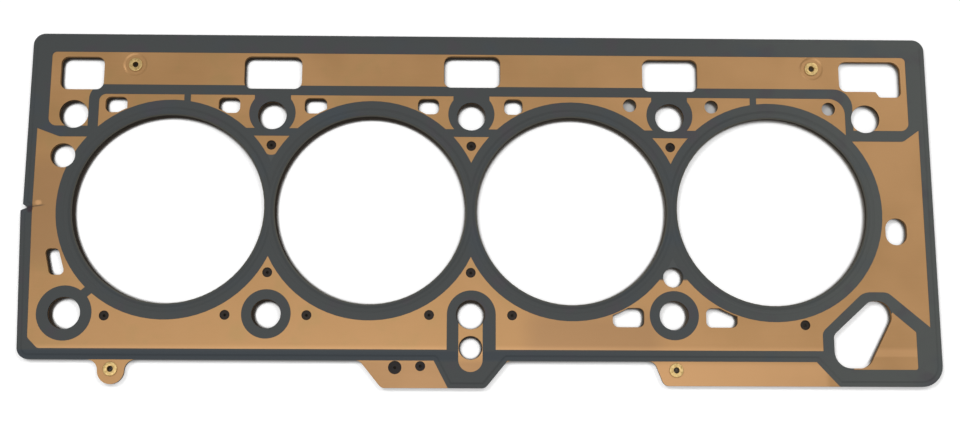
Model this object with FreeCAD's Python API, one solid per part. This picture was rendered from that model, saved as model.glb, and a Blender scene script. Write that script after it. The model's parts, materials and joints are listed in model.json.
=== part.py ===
import FreeCAD, Part
import math
import os

# Cylinder head gasket for an in-line four: two beaded steel sheets with a carrier sheet and
# stopper rings between them, printed sealing lines on both faces and four hollow rivets.
# The field of each beaded sheet stands off the carrier by the height of its beads. A half bead
# inside the rim and a pad round each rivet bring the sheet down onto the carrier.
# Millimetres. X runs along the row of bores, Y across it, Z up from the face that meets the block.
# Every plan position is taken from the bore line, midway between bores 2 and 3.

# Bores, and the places of the bores along the row in pitches
BORE_RADIUS = 40.8
BORE_WEB = 4.4
BORE_PITCH = 2 * BORE_RADIUS + BORE_WEB
BORE_XS = [place * BORE_PITCH for place in (-1.5, -0.5, 0.5, 1.5)]
WEB_XS = [(a + b) / 2 for a, b in zip(BORE_XS, BORE_XS[1:])]
WEB_1, WEB_2, WEB_3 = WEB_XS
ROW_END = BORE_XS[-1] + BORE_RADIUS

# Head bolts: a row above the bores and one below them, and a wider corner hole
BOLT_HOLE_RADIUS = 6.2
CORNER_BOLT_RADIUS = 6.8
END_BOLT_X = ROW_END + 1.6
CORNER_BOLT_X = -ROW_END - 0.7
UPPER_BOLT_Y = BORE_RADIUS + 0.2
LOWER_BOLT_Y = -BORE_RADIUS - 4.2

# Stack, from the outside in
PRINT_THICKNESS = 0.08
SHEET_THICKNESS = 0.30
BEAD_HEIGHT = 0.30
CARRIER_THICKNESS = 0.60
STOPPER_THICKNESS = 0.15
STOPPER_WIDTH = 1.0

# Full bead round each bore, pressed towards the carrier
BEAD_RADIUS = BORE_PITCH / 2
BEAD_WIDTH = 2.6
BEAD_CREST_WIDTH = 0.8

# Half bead that steps the field down to the rim, and down to the pads of the rivets
RIM_WIDTH = 1.6
HALF_BEAD_WIDTH = 0.8
RIVET_PAD_RADIUS = 4.4

# Outline: a left edge with a nick, a rail along the foot and three lugs below the rail
LEFT_X = -ROW_END - 20.8
RIGHT_X = ROW_END + 29.0
TOP_Y = BORE_RADIUS + 36.2
RAIL_Y = -BORE_RADIUS - 23.5
OUTER_CORNER = 5.0
LEFT_TAPER = 2.4
NICK_STEP = 0.9
NICK_DEPTH = 2.2
NICK_HEIGHT = 2.6
LUG_CORNER = 3.0
LUG_FILLET = 3.5
SMALL_TAB_X = BORE_XS[0] - 20.8
SMALL_TAB_RADIUS = 5.6
LOBE_LEFT_X = WEB_2 - 37.2
LOBE_RIGHT_X = WEB_2 + 6.2
LOBE_Y = RAIL_Y - 11.4
LOBE_SLOPE = 9.3
TAB_LEFT_X = WEB_3 - 4.8
TAB_Y = RAIL_Y - 10.2
TAB_SLOPE = 4.0
TAB_CORNER = 9.0

# Printed lines: borders, rings round bores and bolts, bands, legs, bridges and links
TOP_BORDER = 8.2
LEFT_BORDER = 8.5
RIGHT_BORDER = 8.6
LOWER_LEFT_BORDER = 4.0
LOWER_RIGHT_BORDER = 4.4
RAIL_BORDER = 4.6
RING_WIDTH = 6.8
RING_RADIUS = BORE_RADIUS + RING_WIDTH
PRINT_SETBACK = 0.5
CELL_CORNER = 2.0
SHELF_CORNER = 3.5
BAND_TOP_Y = BORE_RADIUS + 13.5
BAND_WIDTH = 4.3
LEG_LEFT_X = -ROW_END + 4.6
LEG_RIGHT_X = ROW_END - 3.8
LEG_WIDTH = 4.4
RIGHT_LEG_WIDTH = 3.4
SHELF_TOP_Y = BORE_RADIUS - 5.0
SHELF_BOTTOM_Y = BORE_RADIUS - 9.8
LEFT_SHELF_X = -ROW_END - 7.2
RIGHT_SHELF_X = ROW_END + 17.7
SHELF_DROP = 3.6
RIGHT_SHELF_DROP = 5.0
RAIL_CHAMFER = 4.4
UPPER_BOLT_RING = 10.0
LOWER_BOLT_RING = 10.4
CORNER_BOLT_RING = 11.6
PILLAR_WIDTH = 15.6
BRIDGE_Y = BORE_RADIUS - 7.2
BRIDGE_REACH = 13.0
BRIDGE_WIDTH = 3.4
LINK_XS = (BORE_XS[0] + 6.2, BORE_XS[-1] - 6.4)
LINK_WIDTH = 2.8
BLOCK_X = WEB_2 + 0.3
BLOCK_RADIUS = 10.3
BLOCK_SLOT_RADIUS = 5.1
CORNER_LINK = ((5.5, 6.0), (14.5, 14.0))
CORNER_LINK_WIDTH = 3.9
LOBE_PRINT_X = WEB_2 - 9.4
LOBE_PRINT_SLOPE = 6.0

# Openings: windows over the ports, water passages, oil return, metering holes and vents
WINDOW_CORNER = 3.2
PASSAGE_CORNER = 2.4
PASSAGE_LAND = 0.4
CARRIER_SETBACK = 0.5
METERING_RADIUS = 2.1
ORIFICE_RADIUS = 0.6
LOBE_PORT = (LOBE_LEFT_X + 5.6, LOBE_Y + 8.5)
LOBE_PORT_RADIUS = 2.8
VENT_RADIUS = 2.9
LOWER_ROUND = (WEB_2, LOWER_BOLT_Y - 13.9, 5.0)
WEB_ROUND = (WEB_3, 12.0 - BORE_RADIUS, 4.3)
CORNER_ROUND = (-ROW_END - 5.2, 22.7, 5.3)

# Hollow rivets
RIVET_BORE = 1.2
RIVET_WALL = 0.4
RIVET_FLANGE = 3.0
RIVET_HEAD = 0.5
RIVET_BEVEL = 0.25
RIVET_CLEARANCE = 0.05

# Height of each layer at the rim, where the sheets lie on the carrier
LOWER_PRINT_Z = BEAD_HEIGHT
LOWER_SHEET_Z = LOWER_PRINT_Z + PRINT_THICKNESS
CARRIER_Z = LOWER_SHEET_Z + SHEET_THICKNESS
UPPER_SHEET_Z = CARRIER_Z + CARRIER_THICKNESS
UPPER_PRINT_Z = UPPER_SHEET_Z + SHEET_THICKNESS

# The datum is the middle of the grid of head bolts
DATUM_Y = (UPPER_BOLT_Y + LOWER_BOLT_Y) / 2

# Plain windows as (bolt x, left, right, foot, head), measured from the bolt and from the band's top
WINDOWS = [
    (-END_BOLT_X, -6.6, 12.1, -2.3, 12.3), (WEB_1, -12.7, 12.3, -1.5, 13.0),
    (WEB_2, -12.0, 12.5, -0.4, 13.7), (WEB_3, -11.5, 12.6, -1.6, 12.9),
]
# The last window has a step in its foot. Corners as (x, y, radius) from the end bolt and the band's top.
STEPPED_WINDOW = [
    (-10.7, 12.5, WINDOW_CORNER), (16.3, 12.5, 4.5), (16.3, -3.5, 2.5), (6.8, -3.5, 1.5),
    (5.2, -1.0, 1.0), (-10.7, -1.0, WINDOW_CORNER),
]
# Round the tenth bolt, as (x, y, radius) from its middle: the oil return, the loop printed round it
# and the bare patch in the corner beyond it
OIL_RETURN = [
    (-18.1, -7.9, 3.0), (-2.2, 6.6, 4.5), (6.8, 6.6, 6.0), (6.8, -1.5, 4.0), (-3.9, -21.9, 6.0),
    (-18.1, -21.9, 7.0),
]
OIL_LOOP = [(-22.8, -18.3, 0), (-22.8, -6.6, 4.0), (-4.6, 10.3, 7.0), (5.6, 10.3, 5.0), (24.0, -5.4, 0)]
OIL_LOOP_FOOT = [(-16.4, 1.5), (-25.8, 1.5)]
OIL_CORNER = [(7.2, 1.8, 0), (16.9, -6.6, 1.0), (16.9, -22.4, 1.0), (-10.4, -22.4, 0)]
UPPER_SLOTS = [
    (BORE_XS[0] - 29.0, BORE_XS[0] - 19.6), (WEB_1 - 23.3, WEB_1 - 14.0), (WEB_1 + 13.8, WEB_1 + 23.5),
    (WEB_2 - 23.2, WEB_2 - 14.0), (WEB_2 + 14.2, WEB_2 + 22.2),
]
UPPER_SLOT_YS = (UPPER_BOLT_Y + 0.9, UPPER_BOLT_Y + 7.8)
LOWER_SLOTS = [(WEB_3 - 26.0, WEB_3 - 12.7), (WEB_3 + 13.5, WEB_3 + 26.8)]
LOWER_SLOT_YS = (LOWER_BOLT_Y - 5.0, LOWER_BOLT_Y + 3.2)
SIDE_SLOT = (ROW_END + 7.8, ROW_END + 17.0, -14.4, -2.8)
LEANING_SLOT = [(-10.4, -17.6, 2.0), (-4.6, -17.6, 2.0), (-1.2, -28.9, 2.0), (-7.8, -28.9, 2.0)]
RIVETS = [
    (BORE_XS[0] - 17.0, TOP_Y - 13.7), (BORE_XS[-1] + 19.8, TOP_Y - 13.5),
    (SMALL_TAB_X - 0.2, RAIL_Y - 3.9), (TAB_LEFT_X + 5.2, RAIL_Y - 3.7),
]
METERING_HOLES = [
    (BORE_XS[0] - 24.7, LOWER_BOLT_Y - 1.0), (BORE_XS[-1] + 12.4, LOWER_BOLT_Y - 3.8),
    (WEB_1 - 17.3, LOWER_BOLT_Y - 0.5), (WEB_1 + 17.0, LOWER_BOLT_Y - 0.5),
    (WEB_2 - 17.5, LOWER_BOLT_Y - 0.2), (WEB_2 + 17.5, LOWER_BOLT_Y - 0.2),
    (WEB_1, 13.4 - BORE_RADIUS), (WEB_2, 13.6 - BORE_RADIUS),
    (WEB_1, BORE_RADIUS - 13.0), (WEB_2, BORE_RADIUS - 13.0), (WEB_3, BORE_RADIUS - 13.0),
    (LOBE_LEFT_X + 16.2, LOBE_Y + 9.1),
]
VENTS = [
    (WEB_3 - 17.2, UPPER_BOLT_Y + 5.4), (WEB_3 + 18.3, UPPER_BOLT_Y + 5.0),
    (BORE_XS[-1] + 26.5, UPPER_BOLT_Y + 4.4),
]


def vec(x, y, z=0.0):
    return FreeCAD.Vector(x, y, z)


def disc(x, y, radius):
    return Part.Face(Part.Wire([Part.Circle(vec(x, y), vec(0, 0, 1), radius).toShape()]))


def patch(corners):
    """A flat face through (x, y, corner radius) points; a radius of 0 leaves the corner sharp."""
    turns = sum(a[0] * b[1] - b[0] * a[1] for a, b in zip(corners, corners[1:] + corners[:1]))
    if turns < 0:
        corners = corners[::-1]
    points = [vec(x, y) for x, y, _ in corners]
    starts, edges = [], []
    for i, (here, (_, _, radius)) in enumerate(zip(points, corners)):
        if not radius:
            starts.append((here, here, None))
            continue
        back = (points[i - 1] - here).normalize()
        ahead = (points[(i + 1) % len(points)] - here).normalize()
        half = back.getAngle(ahead) / 2
        reach = radius / math.tan(half)
        centre = here + (back + ahead).normalize() * (radius / math.sin(half))
        middle = centre + (here - centre).normalize() * radius
        starts.append((here + back * reach, here + ahead * reach, middle))
    for (first, last, middle), (following, _, _) in zip(starts, starts[1:] + starts[:1]):
        if middle:
            edges.append(Part.Arc(first, middle, last).toShape())
        if last.distanceToPoint(following) > 1e-6:
            edges.append(Part.LineSegment(last, following).toShape())
    return Part.Face(Part.Wire(edges))


def box(x_low, x_high, y_low, y_high, radius=0.0):
    return patch([(x_low, y_high, radius), (x_high, y_high, radius),
                  (x_high, y_low, radius), (x_low, y_low, radius)])


def shifted(corners, x, y):
    return [(x + dx, y + dy, radius) for dx, dy, radius in corners]


def strip(start, end, width):
    """A straight band of the given width from one point to another."""
    along = (vec(*end) - vec(*start)).normalize()
    side = vec(-along.y, along.x) * (width / 2)
    ends = [vec(*start) + side, vec(*end) + side, vec(*end) - side, vec(*start) - side]
    return patch([(p.x, p.y, 0) for p in ends])


def joined(faces):
    return faces[0].fuse(faces[1:]).removeSplitter()


def raised(shape, low, height):
    """Solids of the given height over every face of a flat shape."""
    solids = [face.extrude(vec(0, 0, height)) for face in shape.Faces]
    stack = Part.makeCompound(solids) if len(solids) > 1 else solids[0]
    stack.translate(vec(0, 0, low))
    return stack


def left_edge():
    """Corners of the left edge from the rail upwards: it leans out to the nick, which is set back."""
    return [
        (LEFT_X - NICK_STEP + LEFT_TAPER, RAIL_Y, OUTER_CORNER), (LEFT_X - NICK_STEP, -NICK_HEIGHT / 2, 0),
        (LEFT_X + NICK_DEPTH, 0, 0), (LEFT_X, NICK_HEIGHT / 2, 0), (LEFT_X, TOP_Y, OUTER_CORNER),
    ]


def outline():
    """The edge of the sheets, with a small tab, a lobe and a long tab below the rail."""
    neck = RAIL_Y - TAB_Y - SMALL_TAB_RADIUS
    return patch(left_edge() + [
        (RIGHT_X, TOP_Y, OUTER_CORNER),
        (RIGHT_X, TAB_Y, TAB_CORNER),
        (TAB_LEFT_X, TAB_Y, LUG_CORNER),
        (TAB_LEFT_X - TAB_SLOPE, RAIL_Y, LUG_FILLET),
        (LOBE_RIGHT_X + LOBE_SLOPE, RAIL_Y, LUG_FILLET),
        (LOBE_RIGHT_X, LOBE_Y, LUG_CORNER),
        (LOBE_LEFT_X, LOBE_Y, LUG_CORNER),
        (LOBE_LEFT_X - LOBE_SLOPE, RAIL_Y, LUG_FILLET),
        (SMALL_TAB_X + SMALL_TAB_RADIUS, RAIL_Y, neck),
        (SMALL_TAB_X + SMALL_TAB_RADIUS, TAB_Y, SMALL_TAB_RADIUS),
        (SMALL_TAB_X - SMALL_TAB_RADIUS, TAB_Y, SMALL_TAB_RADIUS),
        (SMALL_TAB_X - SMALL_TAB_RADIUS, RAIL_Y, neck),
    ])


def bores(radius):
    return [disc(x, 0, radius) for x in BORE_XS]


def bolt_holes():
    upper = [disc(x, UPPER_BOLT_Y, BOLT_HOLE_RADIUS) for x in [-END_BOLT_X, *WEB_XS, END_BOLT_X]]
    lower = [disc(x, LOWER_BOLT_Y, BOLT_HOLE_RADIUS) for x in WEB_XS]
    return upper + lower + [disc(CORNER_BOLT_X, LOWER_BOLT_Y, CORNER_BOLT_RADIUS)]


def ports():
    """Windows and the slanted oil return, which takes the tenth bolt at its upper end."""
    windows = [box(x + left, x + right, BAND_TOP_Y + foot, BAND_TOP_Y + head, WINDOW_CORNER)
               for x, left, right, foot, head in WINDOWS]
    stepped = patch(shifted(STEPPED_WINDOW, END_BOLT_X, BAND_TOP_Y))
    return windows + [stepped, patch(shifted(OIL_RETURN, END_BOLT_X, LOWER_BOLT_Y))]


def water_passages():
    """Slots beside the bores, cut back along the ring of the bore that they lie against, and rounds."""
    slots = [box(*xs, *UPPER_SLOT_YS, PASSAGE_CORNER) for xs in UPPER_SLOTS]
    slots += [box(*xs, *LOWER_SLOT_YS, PASSAGE_CORNER) for xs in LOWER_SLOTS]
    shaped = [slot.cut(bores(RING_RADIUS + PASSAGE_LAND)).Faces[0] for slot in slots]
    rounds = [disc(*CORNER_ROUND), disc(*LOWER_ROUND), disc(*WEB_ROUND)]
    leaning = patch(shifted(LEANING_SLOT, -ROW_END, 0))
    return shaped + rounds + [box(*SIDE_SLOT, OUTER_CORNER - CARRIER_SETBACK), leaning]


def metering(radius, lobe_radius):
    return [disc(x, y, radius) for x, y in METERING_HOLES] + [disc(*LOBE_PORT, lobe_radius)]


def shared_holes():
    """Holes of one size through every sheet."""
    vents = [disc(x, y, VENT_RADIUS) for x, y in VENTS]
    rivets = [disc(x, y, RIVET_BORE + RIVET_WALL + RIVET_CLEARANCE) for x, y in RIVETS]
    return bores(BORE_RADIUS) + bolt_holes() + vents + rivets


def bead_rings(low, rise):
    """The full bead of every bore as rings of trapezoid section, met on the middle of each web.

    low is the height of the face it starts from; rise is signed, away from that face.
    """
    rings = []
    foot, crest = BEAD_WIDTH / 2, BEAD_CREST_WIDTH / 2
    for i, x in enumerate(BORE_XS):
        profile = [vec(BEAD_RADIUS - foot, 0, low), vec(BEAD_RADIUS - crest, 0, low + rise),
                   vec(BEAD_RADIUS + crest, 0, low + rise), vec(BEAD_RADIUS + foot, 0, low)]
        face = Part.Face(Part.makePolygon(profile + profile[:1]))
        ring = face.revolve(vec(0, 0, 0), vec(0, 0, 1), 360)
        ring.translate(vec(x, 0, 0))
        near = x - (BORE_PITCH / 2 if i else BORE_PITCH)
        far = x + (BORE_PITCH / 2 if i < len(BORE_XS) - 1 else BORE_PITCH)
        cell = raised(box(near, far, -BORE_PITCH, BORE_PITCH), low - 2, 4)
        rings.append(ring.common(cell))
    return rings


def raised_field(start, end):
    """The field inside the rim as a solid, its edge sloped over the last part of its height."""
    field = printed_field().Faces[0].makeOffset2D(-RIM_WIDTH)
    field = field.cut([disc(x, y, RIVET_PAD_RADIUS) for x, y in RIVETS])
    block = raised(field, start, end - start)
    rim = [edge for edge in block.Edges if all(abs(v.Z - end) < 1e-6 for v in edge.Vertexes)]
    return block.makeChamfer(BEAD_HEIGHT, HALF_BEAD_WIDTH, rim)


def formed(plate, low, thickness, towards):
    """Press a flat layer: raise its field away from the carrier, then press the beads back to it."""
    inner, outer = (low + thickness, low) if towards > 0 else (low, low + thickness)
    lift = -towards * BEAD_HEIGHT
    raised_plate = plate.fuse(raised_field(inner, outer + lift)).cut(raised_field(inner - lift, inner + lift))
    return raised_plate.fuse(bead_rings(inner + lift, -lift)).cut(bead_rings(outer + lift, -lift))


def drilled(plate, holes):
    """Cut flat hole shapes through the full height of a plate."""
    extent = plate.BoundBox
    return plate.cut([raised(hole, extent.ZMin - 1, extent.ZLength + 2) for hole in holes])


def bead_sheet(low, towards):
    blank = formed(raised(outline(), low, SHEET_THICKNESS), low, SHEET_THICKNESS, towards)
    holes = shared_holes() + ports() + water_passages() + metering(METERING_RADIUS, LOBE_PORT_RADIUS)
    return drilled(blank, holes)


def carrier_sheet():
    """The middle sheet, set back from the edge of every passage, with small metering orifices."""
    passages = [hole.makeOffset2D(CARRIER_SETBACK) for hole in ports() + water_passages()]
    blank = raised(outline(), CARRIER_Z, CARRIER_THICKNESS)
    return drilled(blank, shared_holes() + passages + metering(ORIFICE_RADIUS, ORIFICE_RADIUS))


def stopper_ring(x):
    """A thin ring on the carrier between the edge of a bore and its bead."""
    ring = disc(x, 0, BORE_RADIUS + STOPPER_WIDTH).cut(disc(x, 0, BORE_RADIUS))
    return raised(ring, CARRIER_Z + CARRIER_THICKNESS, STOPPER_THICKNESS)


def oil_loop():
    """The printed field round the oil return and along the foot of the corner beyond it."""
    loop = shifted(OIL_LOOP, END_BOLT_X, LOWER_BOLT_Y)
    shoulder = loop[-1][1]
    (toe, toe_radius), (heel, heel_radius) = OIL_LOOP_FOOT
    return patch(loop + [
        (RIGHT_X, shoulder, 0), (RIGHT_X, TAB_Y, TAB_CORNER), (END_BOLT_X + toe, TAB_Y, toe_radius),
        (END_BOLT_X + heel, RAIL_Y, heel_radius), (END_BOLT_X + heel, loop[0][1], 0),
    ])


def printed_field():
    """All that the print may cover: the body above the rail, the lobe's right half, the oil corner."""
    body = patch(left_edge() + [(RIGHT_X, TOP_Y, OUTER_CORNER), (RIGHT_X, RAIL_Y, 0)])
    lobe = patch([
        (LOBE_PRINT_X - LOBE_PRINT_SLOPE, RAIL_Y, 0), (LOBE_PRINT_X, LOBE_Y, 0),
        (LOBE_RIGHT_X, LOBE_Y, LUG_CORNER), (LOBE_RIGHT_X + LOBE_SLOPE, RAIL_Y, 0),
    ])
    return joined([body, lobe, oil_loop()])


def bare_cells():
    """The three big unprinted cells, before the rings and bands that cross them are put back."""
    left, right, top = LEFT_X + LEFT_BORDER, RIGHT_X - RIGHT_BORDER, TOP_Y - TOP_BORDER
    upper = patch([
        (left, top, CELL_CORNER), (right, top, CELL_CORNER), (right, SHELF_TOP_Y, SHELF_CORNER),
        (LEG_RIGHT_X, SHELF_TOP_Y, 0), (LEG_RIGHT_X, BAND_TOP_Y, 8.0), (LEG_LEFT_X, BAND_TOP_Y, 6.5),
        (LEG_LEFT_X, SHELF_TOP_Y, 0), (left, SHELF_TOP_Y, SHELF_CORNER),
    ])
    inner_left, inner_right = LEG_LEFT_X + LEG_WIDTH, LEG_RIGHT_X - RIGHT_LEG_WIDTH
    band_foot, foot = BAND_TOP_Y - BAND_WIDTH, BORE_RADIUS / 2
    middle = patch([
        (inner_left, band_foot, 3.0), (inner_right, band_foot, 7.0), (inner_right, foot, 0),
        (inner_left, foot, 0),
    ])
    low_left, low_right = LEFT_X + LOWER_LEFT_BORDER, RIGHT_X - LOWER_RIGHT_BORDER
    low_foot, rail = low_left - NICK_STEP + LEFT_TAPER, RAIL_Y + RAIL_BORDER
    lower = patch([
        (low_left, SHELF_BOTTOM_Y + SHELF_DROP, 0), (LEFT_SHELF_X, SHELF_BOTTOM_Y, SHELF_CORNER),
        (RIGHT_SHELF_X, SHELF_BOTTOM_Y, SHELF_CORNER), (low_right, SHELF_BOTTOM_Y + RIGHT_SHELF_DROP, 0),
        (low_right, rail, 0), (low_foot + RAIL_CHAMFER, rail, CELL_CORNER),
        (low_foot, rail + RAIL_CHAMFER, CELL_CORNER), (low_left, 0, 0),
    ])
    return joined([upper, middle, lower])


def rings_and_bands():
    """What the print draws across the cells."""
    drawn = bores(RING_RADIUS) + [oil_loop()]
    for x in WEB_XS:
        drawn.append(disc(x, UPPER_BOLT_Y + 1, UPPER_BOLT_RING))
        drawn.append(box(x - PILLAR_WIDTH / 2, x + PILLAR_WIDTH / 2, UPPER_BOLT_Y, BAND_TOP_Y - BAND_WIDTH))
        drawn.append(strip((x - BRIDGE_REACH, BRIDGE_Y), (x + BRIDGE_REACH, BRIDGE_Y), BRIDGE_WIDTH))
    drawn += [disc(x, LOWER_BOLT_Y, LOWER_BOLT_RING) for x in (WEB_1, WEB_3)]
    link = [(CORNER_BOLT_X + dx, LOWER_BOLT_Y + dy) for dx, dy in CORNER_LINK]
    drawn += [disc(CORNER_BOLT_X, LOWER_BOLT_Y, CORNER_BOLT_RING), strip(*link, CORNER_LINK_WIDTH)]
    drawn.append(disc(BLOCK_X, LOWER_BOLT_Y, BLOCK_RADIUS))
    drawn.append(box(BLOCK_X - BLOCK_RADIUS, BLOCK_X + BLOCK_RADIUS, RAIL_Y, LOWER_BOLT_Y))
    drawn += [strip((x, BRIDGE_Y + RING_WIDTH), (x, BAND_TOP_Y - 1), LINK_WIDTH) for x in LINK_XS]
    return drawn


def printed_lines():
    """The printed pattern as flat faces: the network first, then the two rings that stand alone."""
    bare = bare_cells().cut(rings_and_bands())
    corner = patch(shifted(OIL_CORNER, END_BOLT_X, LOWER_BOLT_Y))
    slot_foot = LOWER_ROUND[1] - LOWER_ROUND[2]
    slot = [box(WEB_2 - BLOCK_SLOT_RADIUS, WEB_2 + BLOCK_SLOT_RADIUS, slot_foot, LOWER_BOLT_Y),
            disc(WEB_2, slot_foot, BLOCK_SLOT_RADIUS)]
    holes = bores(BORE_RADIUS + PRINT_SETBACK) + bolt_holes() + ports() + water_passages()
    pattern = printed_field().cut([bare, corner, *slot] + holes)
    return sorted(pattern.Faces, key=lambda face: -face.Area)


def seal_print(pattern, low, towards):
    """The printed film: a layer formed like the sheet that carries it, kept where the pattern is."""
    film = formed(raised(printed_field(), low, PRINT_THICKNESS), low, PRINT_THICKNESS, towards)
    reach = 2 * BEAD_HEIGHT
    return film.common(raised(pattern, low - reach, PRINT_THICKNESS + 2 * reach))


def rivet(x, y):
    """A hollow rivet with a bevelled head on each face of the stack."""
    inner, outer, rim = RIVET_BORE, RIVET_BORE + RIVET_WALL, RIVET_FLANGE
    low, high = LOWER_SHEET_Z, UPPER_PRINT_Z
    foot, top = low - RIVET_HEAD, high + RIVET_HEAD
    outline = [
        (inner, foot), (rim - RIVET_BEVEL, foot), (rim, foot + RIVET_BEVEL), (rim, low), (outer, low),
        (outer, high), (rim, high), (rim, top - RIVET_BEVEL), (rim - RIVET_BEVEL, top), (inner, top),
    ]
    profile = Part.Face(Part.makePolygon([vec(r, 0, z) for r, z in outline + outline[:1]]))
    turned = profile.revolve(vec(0, 0, 0), vec(0, 0, 1), 360)
    turned.translate(vec(x, y, 0))
    return turned


def export(name, shape):
    placed = shape.copy()
    placed.translate(vec(0, -DATUM_Y, 0))
    placed.exportStep(f"parts/{name}.step")


def main():
    os.makedirs("parts", exist_ok=True)
    export("upper_bead_sheet", bead_sheet(UPPER_SHEET_Z, -1))
    export("lower_bead_sheet", bead_sheet(LOWER_SHEET_Z, 1))
    export("carrier_sheet", carrier_sheet())
    for number, x in enumerate(BORE_XS, 1):
        export(f"stopper_ring_{number}", stopper_ring(x))
    export("rivets", Part.makeCompound([rivet(x, y) for x, y in RIVETS]))
    network, *islands = printed_lines()
    for side, low, towards in (("upper", UPPER_PRINT_Z, -1), ("lower", LOWER_PRINT_Z, 1)):
        export(f"{side}_seal_print", seal_print(network, low, towards))
        rings = raised(Part.makeCompound(islands), low - towards * BEAD_HEIGHT, PRINT_THICKNESS)
        export(f"{side}_bolt_prints", rings)


main()
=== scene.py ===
import json
import math

import bmesh
import bpy
from bpy.props import FloatProperty, FloatVectorProperty, PointerProperty
from mathutils import Euler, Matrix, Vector


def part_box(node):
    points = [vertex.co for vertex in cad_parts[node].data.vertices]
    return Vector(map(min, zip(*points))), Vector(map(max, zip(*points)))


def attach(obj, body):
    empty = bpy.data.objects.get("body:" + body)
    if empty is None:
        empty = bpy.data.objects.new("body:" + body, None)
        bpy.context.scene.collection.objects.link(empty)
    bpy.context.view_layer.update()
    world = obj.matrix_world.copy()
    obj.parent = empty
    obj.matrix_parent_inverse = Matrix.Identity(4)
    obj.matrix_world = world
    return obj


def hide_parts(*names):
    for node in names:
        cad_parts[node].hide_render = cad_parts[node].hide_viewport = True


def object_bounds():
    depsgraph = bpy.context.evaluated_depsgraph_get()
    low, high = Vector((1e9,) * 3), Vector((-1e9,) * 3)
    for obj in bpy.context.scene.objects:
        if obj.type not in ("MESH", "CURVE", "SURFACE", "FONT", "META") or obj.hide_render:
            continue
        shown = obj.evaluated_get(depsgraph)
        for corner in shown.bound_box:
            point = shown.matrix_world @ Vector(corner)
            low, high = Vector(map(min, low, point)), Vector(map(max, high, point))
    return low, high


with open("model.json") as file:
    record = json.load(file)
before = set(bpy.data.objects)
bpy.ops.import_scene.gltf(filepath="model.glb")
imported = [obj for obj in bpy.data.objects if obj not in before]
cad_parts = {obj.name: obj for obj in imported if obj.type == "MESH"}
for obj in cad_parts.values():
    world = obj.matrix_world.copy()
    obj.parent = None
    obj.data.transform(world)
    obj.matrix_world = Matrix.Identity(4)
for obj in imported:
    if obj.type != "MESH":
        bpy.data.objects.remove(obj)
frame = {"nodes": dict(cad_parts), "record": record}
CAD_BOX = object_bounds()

bl_info = {
    "name": "Cylinder head gasket",
    "version": (1, 0, 0),
    "blender": (4, 5, 0),
    "location": "3D Viewport > Sidebar > Gasket",
    "description": "Finishes the sheets, sealing prints, stopper rings and rivets of a head gasket",
    "category": "Object",
}

NODES = frame["nodes"]
MOUNTS = {mount["name"]: mount for mount in frame["record"]["mounts"]}
RINGS = [f"stopper_ring_{number}" for number in range(1, 5)]
MM = 0.001

# Places that the finishes refer to, in millimetres from the datum
BRUISE = (-187.4, 1.3)
RUBBED_SPOT = (-184.1, 4.1)
CREASE_SLOPE, CREASE_RISE = 0.15, 30.3
FIRST_WELL = (-86.0, 29.3)
THIRD_WEB = 86.0
# Three round vents: the middle between the first two, their distance from it, and the last
VENT_PAIR, VENT_REACH, LAST_VENT = 86.5, 17.8, 155.5
# How far from a vent's middle its floor takes painted shade, and where that ends
VENT_SHADE = (3.8, 4.6)

# Areas of the coating as left, right, foot and head, in millimetres from the datum
MIDDLE_LUG = (-60.0, 15.0, -80.0, -62.5)
RIGHT_LUG = (76.0, 150.0, -80.0, -63.0)
FIELD_BELOW_THIRD_BORE = (24.0, 80.0, -62.0, -42.0)
LEFT_LEG = (-200.0, -166.0, -22.0, 22.0)

# Bands across the gasket, each as the run over which it comes in and that over which it goes out
# A band of painted shade, in a cooler tone, along the half bead in the rail print
RAIL_PRINT_SHADE = ((-63.2, -61.4), (-59.0, -57.8))
# A painted highlight on the coating along the upper edge of the rail print
RAIL_HIGHLIGHT = ((-60.5, -59.5), (-57.8, -55.4))
TIP_PAST_WELL = ((17.0, 19.0), (27.2, 28.2))
TIP_PAST_ROUND = ((-28.4, -27.4), (-14.0, -12.0))
VENT_ROW = ((40.0, 41.0), (51.0, 52.0))

# Runs from 0 to 1 in millimetres: y behind the rail, x along the crease and x along the gasket
BEHIND_RAIL = (-64.5, -61.0)
ALONG_CREASE = (-180.5, -183.5)
FADING_RIGHT, PALER_RIGHT, LIGHTER_RIGHT = (150.0, -60.0), (60.0, 190.0), (-80.0, 200.0)

# Facets round a rivet, round a stopper ring and in each rounded corner of their sections
RIVET_SIDES, RING_SIDES, CORNER_POINTS = 48, 180, 4
# Vertices of rivets closer than this belong to one rivet; doubles closer than MERGED are one vertex
RIVETS_APART = 0.01
MERGED = 1e-7

# Half the side of the floor in metres, and the range in millimetres over which its glow grows
FLOOR_REACH = 3.0
GLOW_NEAR, GLOW_FAR = 300.0, 1200.0
# How near a far edge and the walls of a well darken the floor, in millimetres
EDGE_REACH, WELL_REACH = 2.6, 5.0
# A far edge darkens the floor on the side that faces away from this place in front and below
IN_FRONT = (-5.0, -75.0, -95.0)


def tint(red, green, blue):
    """A colour as it looks on a screen, 0 to 255, as the linear values that a shader takes."""
    parts = [channel / 255 for channel in (red, green, blue)]
    return [p / 12.92 if p <= 0.04045 else ((p + 0.055) / 1.055) ** 2.4 for p in parts]


def colour_of(label, text, red, green, blue):
    return FloatVectorProperty(name=label, description=text, default=tint(red, green, blue),
                               size=3, min=0, max=1, subtype="COLOR")


def length_of(label, text, metres):
    return FloatProperty(name=label, description=text, default=metres, min=0, precision=6,
                         unit="LENGTH", subtype="DISTANCE")


def angle_of(label, text, degrees):
    return FloatProperty(name=label, description=text, default=math.radians(degrees),
                         unit="ROTATION", subtype="ANGLE")


def level_of(label, text, level, **settings):
    return FloatProperty(name=label, description=text, default=level, min=0, **settings)


def centre(corners):
    return (corners[0] + corners[1]) / 2


RING_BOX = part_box(RINGS[0])
PITCH = MOUNTS["head_bolts_inner"]["dims"]["spacing_x_mm"] * MM / 2


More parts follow.
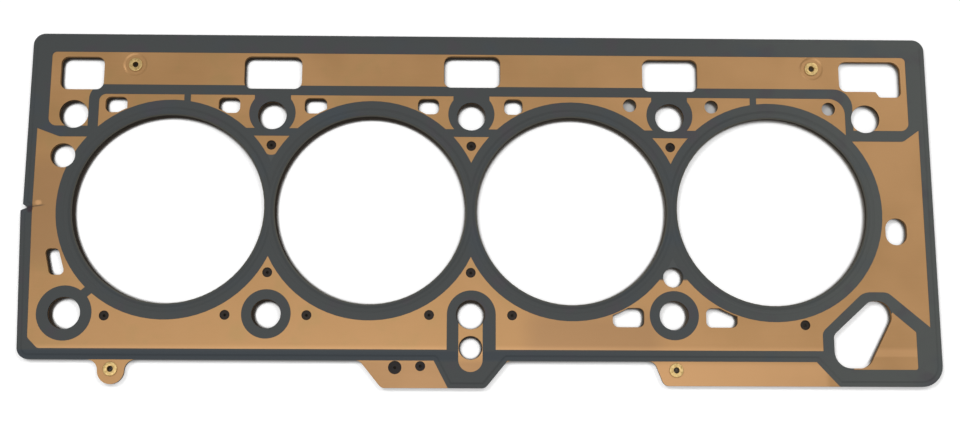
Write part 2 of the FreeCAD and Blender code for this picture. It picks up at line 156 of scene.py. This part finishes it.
class GasketSizes(bpy.types.PropertyGroup):
    bore_pitch: length_of("Bore pitch", "Distance from one bore to the next", PITCH)
    bore_line: length_of("Bore line", "Height of the row of bores above the datum",
                         centre(RING_BOX).y)
    stopper_radius: length_of("Stopper radius", "Outer radius of a stopper ring",
                              (RING_BOX[1].x - RING_BOX[0].x) / 2)
    stopper_width: length_of("Stopper width", "Width of a stopper ring", 1.0 * MM)
    stopper_roll: length_of("Stopper edge", "Rounding of a stopper ring's edges", 0.03 * MM)
    print_edge: length_of("Print edge", "Radius at which the print round a bore begins",
                          41.35 * MM)
    bead_width: length_of("Bead width", "Width of the full bead round a bore", 2.6 * MM)
    rivet_bore: length_of("Rivet bore", "Radius of the hole through a rivet", 1.2 * MM)
    rivet_wall: length_of("Rivet wall", "Wall of a rivet's shank", 0.4 * MM)
    rivet_head: length_of("Rivet head", "Radius of a rivet's rolled head", 3.0 * MM)
    rivet_rise: length_of("Rivet rise", "Height of a rolled head above the sheet it clamps",
                          0.5 * MM)
    rivet_roll: length_of("Rivet roll", "Rounding of a rolled head", 0.24 * MM)


class GasketLooks(bpy.types.PropertyGroup):
    coat: colour_of("Coating", "Bronze coating of the beaded sheets", 182, 139, 92)
    coat_deep: colour_of("Coating, deeper", "Coating where it lies a little thicker", 168, 127, 80)
    coat_olive: colour_of("Coating, olive", "Patches where the coating looks greener",
                          160, 132, 82)
    coat_dull: colour_of("Coating, dull", "Coating on the middle lug and in two patches",
                         162, 123, 82)
    # Rubbed bright beside the nick; the same colour is also a painted highlight along the rail and
    # a paler tone on the right lug
    coat_rubbed_and_highlight: colour_of("Coating, rubbed", "Coating rubbed bright beside the nick",
                           216, 166, 116)
    # The coated sheets' darker cut edge, darkened further as painted shade on the upright walls
    coat_wall_shade: colour_of("Cut edge", "Sheared edges of the coated sheets", 56, 45, 34)
    # Also painted along the crease by the nick, as its shade
    coat_rim_and_crease_shade: colour_of("Bore rim", "Sheet left between the print and a bore", 62, 61, 52)
    # Bare steel darkened far below its own tone, as painted shade for the carrier seen deep in the
    # wells; the stopper rings share it
    steel: colour_of("Bare steel", "Carrier sheet and stopper rings", 36, 28, 22)
    # Painted shade: the carrier darker still where it is seen in the middle lug's holes
    steel_lug_shade: colour_of("Bare steel, dark", "Carrier sheet seen in the middle lug's holes",
                          18, 12, 14)
    # Random stains on the bare steel, and its upright walls darkened as painted shade
    steel_stain_and_wall_shade: colour_of("Bare cut edge", "Sheared edges of the bare steel", 40, 35, 30)
    ink: colour_of("Sealing print", "Printed sealing coat", 63, 66, 66)
    ink_pale: colour_of("Sealing print, pale", "Print towards the right end, a little thinner",
                        74, 77, 75)
    ink_cool: colour_of("Sealing print, cool", "Patches where the print looks cooler", 56, 66, 75)
    ink_plum: colour_of("Sealing print, plum", "Patches where the print looks warmer", 68, 62, 68)
    ink_bruise: colour_of("Print, bruised", "Print beside the nick of the left edge", 48, 32, 40)
    # Painted shade along the feet of the beads, the crease by the nick and the rail, and random
    # darker specks
    ink_shade_and_speck: colour_of("Print crease", "Print along the feet of the beads", 48, 50, 50)
    rivet: colour_of("Rivet", "Yellow passivated rivets", 214, 184, 126)
    rivet_deep: colour_of("Rivet, deeper", "Rivets where the finish is rubbed", 158, 128, 72)
    floor: colour_of("Floor", "Floor that the gasket lies on", 250, 250, 250)
    floor_pale: colour_of("Floor, paler", "Patches of the floor", 253, 253, 253)
    shade: colour_of("Contact shade", "Floor close under a far edge", 62, 56, 50)
    shade_right: colour_of("Contact shade, right", "The same at the right end, in more light",
                           92, 86, 78)


class GasketStage(bpy.types.PropertyGroup):
    eye: FloatVectorProperty(name="Camera place", description="Where the camera stands", size=3,
                             default=(-0.00478, -0.09759, 0.54095), unit="LENGTH", subtype="XYZ")
    aim: FloatVectorProperty(name="Camera turn", description="How the camera is turned", size=3,
                             default=[math.radians(a) for a in (10.359, -0.9456, 0.1575)],
                             unit="ROTATION", subtype="EULER")
    lens: FloatProperty(name="Focal length", description="Focal length on a 36 mm sensor",
                        default=48.1, min=1, unit="CAMERA")
    dome: level_of("Dome", "Level of the even light from all round", 0.34)
    gloss: level_of("Gloss", "Level of the surroundings seen in gloss", 0.44)
    floor_glow: level_of("Floor glow", "Light that the camera alone sees on the floor", 0.4)
    left_key: level_of("Left key", "Strength of the far left key", 1.1)
    right_key: level_of("Right key", "Strength of the far right key", 0.7)
    key_height: angle_of("Key height", "Height of the keys above the horizon", 45)
    key_turn: angle_of("Key turn", "Turn of each key from straight behind", 45)
    key_spread: angle_of("Key spread", "Angle that a key fills, which softens its shadow", 20)
    overhead: level_of("Overhead", "Power of the overhead soft box", 4.6, unit="POWER")
    overhead_width: length_of("Overhead width", "Width of the soft box", 0.9)
    overhead_depth: length_of("Overhead depth", "Depth of the soft box", 0.6)
    overhead_place: FloatVectorProperty(name="Overhead place", description="Middle of the soft box",
                                        size=3, default=(-0.13, -0.25, 1.2), unit="LENGTH",
                                        subtype="XYZ")


class Value:
    """A number or colour that a material works out; arithmetic on it adds the nodes."""

    def __init__(self, shading, socket):
        self.shading, self.socket = shading, socket

    def worked(self, operation, *others):
        sockets = dict(zip(("Value", "Value_001", "Value_002"), others))
        return self.shading.add("ShaderNodeMath", {"operation": operation}, sockets, "Value")

    def __add__(self, other):
        return self.worked("ADD", self, other)

    def __sub__(self, other):
        return self.worked("SUBTRACT", self, other)

    def __rsub__(self, other):
        return self.worked("SUBTRACT", other, self)

    def __mul__(self, other):
        return self.worked("MULTIPLY", self, other)

    def __abs__(self):
        return self.worked("ABSOLUTE", self)

    def __pow__(self, other):
        return self.worked("POWER", self, other)

    __radd__, __rmul__ = __add__, __mul__

    def most(self, other):
        return self.worked("MAXIMUM", self, other)

    def step(self, low, high):
        """0 below low, 1 above high, with a smooth run between; it falls where high is lower."""
        settings = {"interpolation_type": "SMOOTHSTEP", "clamp": True}
        sockets = {"Value": self, "From Min": low, "From Max": high, "To Min": 0.0, "To Max": 1.0}
        return self.shading.add("ShaderNodeMapRange", settings, sockets, "Result")

    def between(self, rise, fall):
        """1 between two places; it comes in over the pair rise and goes out over the pair fall."""
        return self.step(*rise) * self.step(fall[1], fall[0])

    def near(self, place, full, edge):
        """1 within full of a place and 0 beyond edge."""
        return abs(self - place).step(edge, full)


class Shading:
    """The nodes of a material or a world under construction."""

    def __init__(self, owner):
        owner.use_nodes = True
        self.owner = owner
        self.nodes, self.links = owner.node_tree.nodes, owner.node_tree.links
        self.nodes.clear()

    def add(self, kind, settings, sockets, output):
        """A new node; its settings come first, then the values and links of its sockets."""
        node = self.nodes.new(kind)
        for name, setting in settings.items():
            setattr(node, name, setting)
        inputs = {socket.identifier: socket for socket in node.inputs}
        for name, value in sockets.items():
            if isinstance(value, Value):
                self.links.new(value.socket, inputs[name])
            else:
                colour = inputs[name].type == "RGBA" and len(value) == 3
                inputs[name].default_value = (*value, 1.0) if colour else value
        outputs = {socket.identifier: socket for socket in node.outputs}
        return Value(self, outputs[output])

    def light_path(self, ray):
        return self.add("ShaderNodeLightPath", {}, {}, f"Is {ray} Ray")

    def end(self, shader, kind):
        output = self.nodes.new(kind)
        self.links.new(shader.socket, output.inputs["Surface"])
        return self.owner


class Finish(Shading):
    """A material under construction, read in millimetres from the object's own coordinates."""

    def __init__(self, name):
        super().__init__(bpy.data.materials.new(name))
        place = self.add("ShaderNodeTexCoord", {}, {}, "Object")
        self.place = self.vector("SCALE", place, Scale=1 / MM)
        self.x, self.y = self.along(self.place, "X"), self.along(self.place, "Y")

    def along(self, vector, axis):
        return self.add("ShaderNodeSeparateXYZ", {}, {"Vector": vector}, axis)

    def vector(self, operation, *vectors, **sockets):
        named = dict(zip(("Vector", "Vector_001", "Vector_002"), vectors))
        settings = {"operation": operation}
        return self.add("ShaderNodeVectorMath", settings, {**named, **sockets}, "Vector")

    def blend(self, first, second, share):
        sockets = {"A_Color": first, "B_Color": second, "Factor_Float": share}
        return self.add("ShaderNodeMix", {"data_type": "RGBA"}, sockets, "Result_Color")

    def noise(self, size, detail=2.0, roughness=0.5, stretch=None):
        """Smooth noise about 0.5, whose patches are about size millimetres across."""
        where = self.vector("MULTIPLY", self.place, Vector(stretch)) if stretch else self.place
        sockets = {"Vector": where, "Scale": 1 / size, "Detail": detail, "Roughness": roughness}
        return self.add("ShaderNodeTexNoise", {}, sockets, "Fac")

    def spot(self, place, full, edge):
        """1 within full millimetres of a place on the plan and 0 beyond edge."""
        along, across = self.x - place[0], self.y - place[1]
        return (along ** 2 + across ** 2).step(edge ** 2, full ** 2)

    def area(self, left, right, foot, head, soft):
        """1 inside a rectangle and 0 outside it, with edges that run over twice soft."""
        along = self.x.between((left - soft, left + soft), (right - soft, right + soft))
        return along * self.y.between((foot - soft, foot + soft), (head - soft, head + soft))

    def wall(self):
        """1 on the sheared edges, which stand upright, and 0 on faces and the slopes of beads."""
        normal = self.add("ShaderNodeNewGeometry", {}, {}, "True Normal")
        return abs(self.along(normal, "Z")).step(0.75, 0.45)

    def bore_distance(self, sizes):
        """Distance in millimetres from the middle of the nearest bore."""
        pitch = sizes.bore_pitch / MM
        along = abs(abs(abs(self.x) - pitch) - pitch / 2)
        across = self.y - sizes.bore_line / MM
        return (along * along + across * across) ** 0.5

    def nick_crease_shade(self):
        """Painted shade along a short crease that runs in from the nick of the left edge."""
        off_line = self.y - CREASE_SLOPE * self.x
        return off_line.near(CREASE_RISE, 0.1, 0.45) * self.x.step(*ALONG_CREASE)

    def printed_tips(self):
        """Tips of two bare cells that the print closes: past the first well and a round hole."""
        past_well = self.x.near(FIRST_WELL[0], 5.0, 6.0) * self.y.between(*TIP_PAST_WELL)
        past_well = past_well * (1 - self.spot(FIRST_WELL, 3.6, 4.0))
        past_round = self.x.near(THIRD_WEB, 5.5, 6.5) * self.y.between(*TIP_PAST_ROUND)
        return past_well.most(past_round)

    def openness(self, reach, **towards):
        """How much of what a point looks at is free of anything within reach, in millimetres."""
        sockets = {"Distance": reach * MM, **towards}
        return self.add("ShaderNodeAmbientOcclusion", {}, sockets, "AO")

    def bump(self, height, millimetres):
        sockets = {"Height": height, "Distance": millimetres * MM}
        return self.add("ShaderNodeBump", {}, sockets, "Normal")

    def surface(self, **sockets):
        """Ends the material in one Principled shader; words in a socket's name are joined by _."""
        named = {name.replace("_", " "): value for name, value in sockets.items()}
        shader = self.add("ShaderNodeBsdfPrincipled", {}, named, "BSDF")
        return self.end(shader, "ShaderNodeOutputMaterial")


def coated_steel(looks, sizes):
    """Bronze lacquer on rolled spring steel, with a dull rim at bores. Its upright sheared edges
    are darkened: a darker cut with painted shade on it. A painted highlight runs along the rail,
    and painted shade runs along the crease by the nick.
    """
    f = Finish("bronze_coat")
    wall = f.wall()
    cloud = f.noise(34.0, 3.0).step(0.32, 0.68)
    grain = f.noise(1.0, 2.0, 0.6, stretch=(0.035, 1.7, 1.0))
    peel = f.noise(0.55, 2.0, 0.55)
    colour = f.blend(looks.coat_deep, looks.coat, 0.25 + 0.5 * cloud + 0.25 * grain)
    olive = f.noise(13.0, 3.0, 0.55).step(0.46, 0.7) * f.x.step(*FADING_RIGHT)
    colour = f.blend(colour, looks.coat_olive, 0.35 * olive)
    dull = f.area(*MIDDLE_LUG, soft=1.5).most(f.area(*FIELD_BELOW_THIRD_BORE, soft=6.0))
    dull = (0.9 * dull).most(0.8 * f.area(*LEFT_LEG, soft=6.0))
    colour = f.blend(colour, looks.coat_dull, dull)
    spot = ((f.x - RUBBED_SPOT[0]) * 0.8) ** 2 + (f.y - RUBBED_SPOT[1]) ** 2
    rubbed = (spot + 1.5 * peel).step(2.9, 0.7)
    # A painted highlight along the rail, and a paler tone on the right lug
    pale = (0.35 * f.y.between(*RAIL_HIGHLIGHT)).most(0.4 * f.area(*RIGHT_LUG, soft=1.5))
    colour = f.blend(colour, looks.coat_rubbed_and_highlight, (0.75 * rubbed).most(pale))
    print_edge = sizes.print_edge / MM
    rim = f.bore_distance(sizes).step(print_edge + 0.3, print_edge)
    # The rim at the bores, and painted shade along the crease by the nick
    colour = f.blend(colour, looks.coat_rim_and_crease_shade, rim.most(0.6 * f.nick_crease_shade()))
    tips = f.printed_tips()
    # The tips take the print's colour; the upright walls take a dark colour that is painted shade
    colour = f.blend(f.blend(colour, looks.ink, tips), looks.coat_wall_shade, wall)
    return f.surface(
        Base_Color=colour, Metallic=0.5 - (0.4 * wall.most(rim)).most(0.5 * tips),
        Roughness=0.38 + 0.10 * (grain - 0.5) + 0.06 * cloud + (0.3 * wall).most(0.2 * tips),
        Normal=f.bump(peel * 0.6 + grain * 0.4, 0.010))


def bare_steel(looks):
    """Bare rolled strip, brushed along the row of bores, with random stains. Its colour is darkened
    as painted shade: all over, more in the middle lug's holes and most on the sheared edges.
    """
    f = Finish("bare_steel")
    wall = f.wall()
    grain = f.noise(0.6, 3.0, 0.65, stretch=(0.03, 1.0, 1.0))
    stain = f.noise(9.0, 3.0).step(0.35, 0.7)
    # Painted shade on the carrier in the middle lug's holes
    colour = f.blend(looks.steel, looks.steel_lug_shade, f.area(*MIDDLE_LUG, soft=1.5))
    # Random stains, and the upright walls darkened as painted shade
    colour = f.blend(colour, looks.steel_stain_and_wall_shade, (0.35 * stain).most(wall))
    return f.surface(
        Base_Color=colour, Metallic=0.6 - 0.4 * wall, Roughness=0.38 + 0.14 * grain + 0.2 * wall,
        Normal=f.bump(grain, 0.006))


def sealing_print(looks, sizes):
    """Screen printed coat: semi-matt, faintly patchy, with random darker specks. Painted shade runs
    along the feet of each bead, along the crease by the nick and, in a cooler tone, along the half
    bead of the rail.
    """
    f = Finish("sealing_print")
    cool = f.noise(26.0, 2.0).step(0.5, 0.78)
    plum = f.noise(11.0, 2.0).step(0.52, 0.72)
    speck = f.noise(0.5, 3.0, 0.7)
    mesh = f.noise(0.16, 1.0)
    # Painted shade along the feet of the full bead round each bore
    from_bead = abs(f.bore_distance(sizes) - sizes.bore_pitch / MM / 2)
    bead_foot_shade = from_bead.near(sizes.bead_width / MM / 2, 0.1, 0.42)
    # Painted shade, in a cooler tone, along the half bead in the rail print
    rail = f.y.between(*RAIL_PRINT_SHADE) * f.x.step(*FADING_RIGHT)
    colour = f.blend(looks.ink, looks.ink_pale, f.x.step(*PALER_RIGHT))
    colour = f.blend(colour, looks.ink_plum, 0.5 * plum)
    colour = f.blend(colour, looks.ink_cool, (0.55 * cool).most(0.9 * rail))
    # Painted shade at the bead feet, the crease and the rail, mixed with random darker specks
    shaded_and_specked = (0.12 * bead_foot_shade).most(0.7 * f.nick_crease_shade())
    shaded_and_specked = shaded_and_specked.most(0.4 * speck.step(0.55, 0.8)).most(0.5 * rail)
    colour = f.blend(colour, looks.ink_shade_and_speck, shaded_and_specked)
    colour = f.blend(colour, looks.ink_bruise, 0.75 * f.spot(BRUISE, 0.3, 2.1))
    return f.surface(
        Base_Color=colour, Roughness=0.6 + 0.12 * (speck - 0.5), Specular_IOR_Level=0.3,
        Normal=f.bump(0.5 * mesh + 0.5 * speck, 0.012))


def rivet_yellow(looks):
    """Yellow passivated steel, rubbed where the tool rolled it."""
    f = Finish("rivet_yellow")
    rubbed = f.noise(1.1, 3.0, 0.6).step(0.42, 0.7)
    grain = f.noise(0.22, 2.0)
    colour = f.blend(looks.rivet, looks.rivet_deep, 0.7 * rubbed)
    return f.surface(Base_Color=colour, Metallic=0.85, Roughness=0.34 + 0.16 * grain,
                     Normal=f.bump(grain, 0.02))


def pale_floor(looks, glow):
    """A pale floor, white to the camera, with painted shade in wells, close under far edges and in
    three round vents.
    """
    f = Finish("pale_floor")
    colour = f.blend(looks.floor, looks.floor_pale, f.noise(8.0).step(0.0, 1.0))
    level = f.vector("MULTIPLY", f.place, (1.0, 1.0, 0.0))
    outward = f.vector("NORMALIZE", f.vector("SUBTRACT", level, IN_FRONT))
    right = f.x.step(*LIGHTER_RIGHT)
    far_edge = (f.openness(EDGE_REACH, Normal=outward) + 0.14 * right).step(0.84, 0.62)
    shade = far_edge * f.y.step(*BEHIND_RAIL)
    vents = abs(f.x - VENT_PAIR).near(VENT_REACH, *VENT_SHADE)
    vents = vents.most(f.x.near(LAST_VENT, *VENT_SHADE)) * f.y.between(*VENT_ROW)
    shade = shade.most(f.openness(WELL_REACH).step(0.5, 0.25)).most(0.6 * vents)
    colour = f.blend(colour, f.blend(looks.shade, looks.shade_right, right), shade)
    away = 1 - f.spot((0.0, 0.0), GLOW_NEAR, GLOW_FAR)
    share = f.light_path("Camera") * (1 - shade) * (0.3 + 0.7 * away)
    seen = f.blend((0.0, 0.0, 0.0), (1.0, 1.0, 1.0), share)
    return f.surface(Base_Color=colour, Roughness=0.9, Specular_IOR_Level=0.0,
                     Emission_Color=seen, Emission_Strength=glow)


def finish_node(name, material):
    """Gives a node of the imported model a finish; its shape stays as it is."""
    slots = NODES[name].data.materials
    slots.clear()
    slots.append(material)


def tree_with(name, sizes):
    """A node tree that takes a geometry, the named sizes and a finish, and gives a geometry."""
    tree = bpy.data.node_groups.new(name, "GeometryNodeTree")
    face = tree.interface
    face.new_socket(name="Geometry", in_out="INPUT", socket_type="NodeSocketGeometry")
    for label in sizes:
        face.new_socket(name=label, in_out="INPUT", socket_type="NodeSocketFloat")
    face.new_socket(name="Finish", in_out="INPUT", socket_type="NodeSocketMaterial")
    face.new_socket(name="Geometry", in_out="OUTPUT", socket_type="NodeSocketGeometry")
    return tree


def tree_node(tree, kind, sockets, **settings):
    """A new node of a tree; a socket takes a value or another node's output."""
    node = tree.nodes.new(kind)
    for name, setting in settings.items():
        setattr(node, name, setting)
    for key, value in sockets.items():
        socket = node.inputs[key]
        if isinstance(value, bpy.types.NodeSocket):
            tree.links.new(value, socket)
        else:
            socket.default_value = value
    return node


def arithmetic(tree, operation, first, second):
    return tree_node(tree, "ShaderNodeMath", {0: first, 1: second}, operation=operation).outputs[0]


def round_section(tree, inner, outer, low, high, roll, around):
    """A ring of rectangular section with rounded edges, between two radii and two heights."""
    middle = arithmetic(tree, "MULTIPLY", arithmetic(tree, "ADD", inner, outer), 0.5)
    lift = arithmetic(tree, "MULTIPLY", arithmetic(tree, "ADD", low, high), 0.5)
    path = tree_node(tree, "GeometryNodeCurvePrimitiveCircle", {
        "Resolution": around, "Radius": middle})
    section = tree_node(tree, "GeometryNodeCurvePrimitiveQuadrilateral", {
        "Width": arithmetic(tree, "SUBTRACT", outer, inner),
        "Height": arithmetic(tree, "SUBTRACT", high, low)})
    rounded = tree_node(tree, "GeometryNodeFilletCurve", {
        "Curve": section.outputs[0], "Radius": roll, "Count": CORNER_POINTS,
        "Limit Radius": True}, mode="POLY")
    ring = tree_node(tree, "GeometryNodeCurveToMesh", {
        "Curve": path.outputs[0], "Profile Curve": rounded.outputs[0]})
    move = tree_node(tree, "ShaderNodeCombineXYZ", {"Z": lift})
    return tree_node(tree, "GeometryNodeTransform", {
        "Geometry": ring.outputs[0], "Translation": move.outputs[0]}).outputs[0]


def placed_copies(tree, source, parts):
    """Stands a copy of the joined parts on each point of the source and finishes them."""
    joined = tree.nodes.new("GeometryNodeJoinGeometry")
    for part in reversed(parts):
        tree.links.new(part, joined.inputs[0])
    copies = tree_node(tree, "GeometryNodeInstanceOnPoints", {
        "Points": source.outputs["Geometry"], "Instance": joined.outputs[0]})
    real = tree_node(tree, "GeometryNodeRealizeInstances", {"Geometry": copies.outputs[0]})
    made = tree_node(tree, "GeometryNodeSetMaterial", {
        "Geometry": real.outputs[0], "Material": source.outputs["Finish"]})
    result = tree.nodes.new("NodeGroupOutput")
    tree.links.new(made.outputs[0], result.inputs[0])


def rivet_tree():
    """A hollow rivet on each point: a shank and a rolled head on either face of the stack."""
    labels = ["Bore radius", "Wall", "Head radius", "Head rise", "Roll", "Lower face",
              "Upper face"]
    tree = tree_with("Hollow rivets", labels)
    source = tree.nodes.new("NodeGroupInput")
    bore, wall, head, rise, roll, low, high = (source.outputs[label] for label in labels)
    shank = arithmetic(tree, "ADD", bore, wall)
    foot, top = arithmetic(tree, "SUBTRACT", low, rise), arithmetic(tree, "ADD", high, rise)
    parts = [
        round_section(tree, bore, shank, foot, top, roll, RIVET_SIDES),
        round_section(tree, bore, head, foot, low, roll, RIVET_SIDES),
        round_section(tree, bore, head, high, top, roll, RIVET_SIDES),
    ]
    placed_copies(tree, source, parts)
    return tree


def stopper_tree():
    """A flat stopper ring with broken edges round each point."""
    labels = ["Inner radius", "Outer radius", "Lower face", "Upper face", "Roll"]
    tree = tree_with("Stopper rings", labels)
    source = tree.nodes.new("NodeGroupInput")
    inner, outer, low, high, roll = (source.outputs[label] for label in labels)
    placed_copies(tree, source, [round_section(tree, inner, outer, low, high, roll, RING_SIDES)])
    return tree


def grown(name, points, tree, values, material, replaced):
    """Runs a tree on the given points and keeps its result as one plain piece."""
    seeds = bpy.data.meshes.new(name + "_places")
    seeds.from_pydata(points, [], [])
    holder = bpy.data.objects.new(name + "_places", seeds)
    bpy.context.scene.collection.objects.link(holder)
    modifier = holder.modifiers.new("Build", "NODES")
    modifier.node_group = tree
    for item in tree.interface.items_tree:
        if item.in_out == "INPUT" and item.name in values:
            modifier[item.identifier] = values[item.name]
        elif item.in_out == "INPUT" and item.name == "Finish":
            modifier[item.identifier] = material
    graph = bpy.context.evaluated_depsgraph_get()
    mesh = bpy.data.meshes.new_from_object(holder.evaluated_get(graph))
    bpy.data.objects.remove(holder)
    mesh.name = name
    shape = bmesh.new()
    shape.from_mesh(mesh)
    bmesh.ops.remove_doubles(shape, verts=shape.verts, dist=MERGED)
    bmesh.ops.recalc_face_normals(shape, faces=shape.faces)
    shape.to_mesh(mesh)
    shape.free()
    piece = bpy.data.objects.new(name, mesh)
    bpy.context.scene.collection.objects.link(piece)
    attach(piece, "root")
    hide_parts(*replaced)


def islands(node, apart):
    """Boxes of the clusters of a node's vertices, whose first vertices are apart in plan."""
    boxes = []
    for vertex in NODES[node].data.vertices:
        here = vertex.co
        near = next((b for b in boxes if (Vector(b[2]) - here).xy.length < apart), None)
        if near is None:
            boxes.append([here.copy(), here.copy(), here.copy()])
        else:
            near[0] = Vector(map(min, near[0], here))
            near[1] = Vector(map(max, near[1], here))
    return [(low, high) for low, high, _ in boxes]


def on_plan(boxes):
    """The middles of boxes, at the height of the datum."""
    return [centre(corners) * Vector((1, 1, 0)) for corners in boxes]


class GASKET_OT_sheets(bpy.types.Operator):
    """Coat the two beaded sheets"""

    bl_idname = "gasket.sheets"
    bl_label = "Coated sheets"

    def execute(self, context):
        coat = coated_steel(context.scene.gasket_looks, context.scene.gasket_sizes)
        for name in ("upper_bead_sheet", "lower_bead_sheet"):
            finish_node(name, coat)
        return {"FINISHED"}


class GASKET_OT_carrier(bpy.types.Operator):
    """Finish the carrier sheet"""

    bl_idname = "gasket.carrier"
    bl_label = "Carrier sheet"

    def execute(self, context):
        finish_node("carrier_sheet", bare_steel(context.scene.gasket_looks))
        return {"FINISHED"}


class GASKET_OT_stoppers(bpy.types.Operator):
    """Lay a stopper ring round each bore, in the carrier's finish"""

    bl_idname = "gasket.stoppers"
    bl_label = "Stopper rings"

    def execute(self, context):
        sizes = context.scene.gasket_sizes
        steel = bpy.data.materials["bare_steel"]
        points = on_plan(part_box(name) for name in RINGS)
        grown("stopper_rings", points, stopper_tree(), {
            "Inner radius": sizes.stopper_radius - sizes.stopper_width,
            "Outer radius": sizes.stopper_radius,
            "Lower face": RING_BOX[0].z,
            "Upper face": RING_BOX[1].z,
            "Roll": sizes.stopper_roll,
        }, steel, RINGS)
        return {"FINISHED"}


class GASKET_OT_prints(bpy.types.Operator):
    """Finish the sealing prints of both faces"""

    bl_idname = "gasket.prints"
    bl_label = "Sealing prints"

    def execute(self, context):
        ink = sealing_print(context.scene.gasket_looks, context.scene.gasket_sizes)
        for face in ("upper", "lower"):
            for part in ("seal_print", "bolt_prints"):
                finish_node(f"{face}_{part}", ink)
        return {"FINISHED"}


class GASKET_OT_rivets(bpy.types.Operator):
    """Set the hollow rivets"""

    bl_idname = "gasket.rivets"
    bl_label = "Rivets"

    def execute(self, context):
        sizes = context.scene.gasket_sizes
        yellow = rivet_yellow(context.scene.gasket_looks)
        low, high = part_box("rivets")
        points = on_plan(islands("rivets", RIVETS_APART))
        grown("rivet_set", points, rivet_tree(), {
            "Bore radius": sizes.rivet_bore,
            "Wall": sizes.rivet_wall,
            "Head radius": sizes.rivet_head,
            "Head rise": sizes.rivet_rise,
            "Roll": sizes.rivet_roll,
            "Lower face": low.z + sizes.rivet_rise,
            "Upper face": high.z - sizes.rivet_rise,
        }, yellow, ["rivets"])
        return {"FINISHED"}


class GASKET_OT_stage(bpy.types.Operator):
    """Lay the floor and place the lamps and the camera"""

    bl_idname = "gasket.stage"
    bl_label = "Stage"

    def execute(self, context):
        scene, stage = context.scene, context.scene.gasket_stage
        scene.view_settings.view_transform = "Standard"
        self.floor(scene, stage)
        self.surroundings(scene, stage)
        self.lamps(scene, stage)
        data = bpy.data.cameras.new("camera")
        data.lens, data.sensor_width = stage.lens, 36
        data.clip_start, data.clip_end = 0.01, 20
        camera = self.placed(scene, "camera", data)
        camera.location, camera.rotation_euler = stage.eye, stage.aim
        scene.camera = camera
        return {"FINISHED"}

    def placed(self, scene, name, data):
        thing = bpy.data.objects.new(name, data)
        scene.collection.objects.link(thing)
        return thing

    def floor(self, scene, stage):
        """A level sheet under the lowest point of the gasket."""
        reach, depth = FLOOR_REACH, CAD_BOX[0].z
        sheet = bpy.data.meshes.new("floor")
        corners = [(-reach, -reach), (reach, -reach), (reach, reach), (-reach, reach)]
        sheet.from_pydata([(x, y, depth) for x, y in corners], [], [(0, 1, 2, 3)])
        sheet.materials.append(pale_floor(scene.gasket_looks, stage.floor_glow))
        floor = self.placed(scene, "floor", sheet)

    def surroundings(self, scene, stage):
        """Even light all round, white to the camera and at its own level in gloss."""
        sky = Shading(bpy.data.worlds.new("studio"))
        level = stage.dome + (1 - stage.dome) * sky.light_path("Camera")
        level = level + (stage.gloss - stage.dome) * sky.light_path("Glossy")
        sockets = {"Color": (1.0, 1.0, 1.0), "Strength": level}
        even = sky.add("ShaderNodeBackground", {}, sockets, "Background")
        scene.world = sky.end(even, "ShaderNodeOutputWorld")

    def lamps(self, scene, stage):
        """Two soft keys from behind, of which gloss shows the right one, and a soft box above."""
        for name, energy, turn, in_gloss in (
                ("left_key", stage.left_key, stage.key_turn, False),
                ("right_key", stage.right_key, -stage.key_turn, True)):
            key = bpy.data.lights.new(name, "SUN")
            key.energy, key.angle = energy, stage.key_spread
            lamp = self.placed(scene, name, key)
            lamp.rotation_euler = Euler((stage.key_height - math.pi / 2, 0, turn))
            lamp.visible_glossy = in_gloss
        box = bpy.data.lights.new("overhead", "AREA")
        box.shape, box.energy = "RECTANGLE", stage.overhead
        box.size, box.size_y = stage.overhead_width, stage.overhead_depth
        lamp = self.placed(scene, "overhead", box)
        lamp.location = stage.overhead_place


class GASKET_PT_panel(bpy.types.Panel):
    """Lists the operators and the values that they read"""

    bl_idname = "GASKET_PT_panel"
    bl_label = "Cylinder head gasket"
    bl_space_type = "VIEW_3D"
    bl_region_type = "UI"
    bl_category = "Gasket"

    def draw(self, context):
        for operator in OPERATORS:
            self.layout.operator(operator.bl_idname)
        for group in GROUPS:
            values = getattr(context.scene, group)
            column = self.layout.column()
            for name in values.bl_rna.properties.keys():
                if name not in ("rna_type", "name"):
                    column.prop(values, name)


OPERATORS = (GASKET_OT_sheets, GASKET_OT_carrier, GASKET_OT_stoppers, GASKET_OT_prints,
             GASKET_OT_rivets, GASKET_OT_stage)
GROUPS = {"gasket_sizes": GasketSizes, "gasket_looks": GasketLooks, "gasket_stage": GasketStage}
CLASSES = (*GROUPS.values(), *OPERATORS, GASKET_PT_panel)


def register():
    for kind in CLASSES:
        bpy.utils.register_class(kind)
    for name, kind in GROUPS.items():
        setattr(bpy.types.Scene, name, PointerProperty(type=kind))


def unregister():
    for name in GROUPS:
        delattr(bpy.types.Scene, name)
    for kind in reversed(CLASSES):
        bpy.utils.unregister_class(kind)


def main():
    register()
    for operator in OPERATORS:
        family, name = operator.bl_idname.split(".")
        getattr(getattr(bpy.ops, family), name)()


if __name__ == "__main__":
    main()
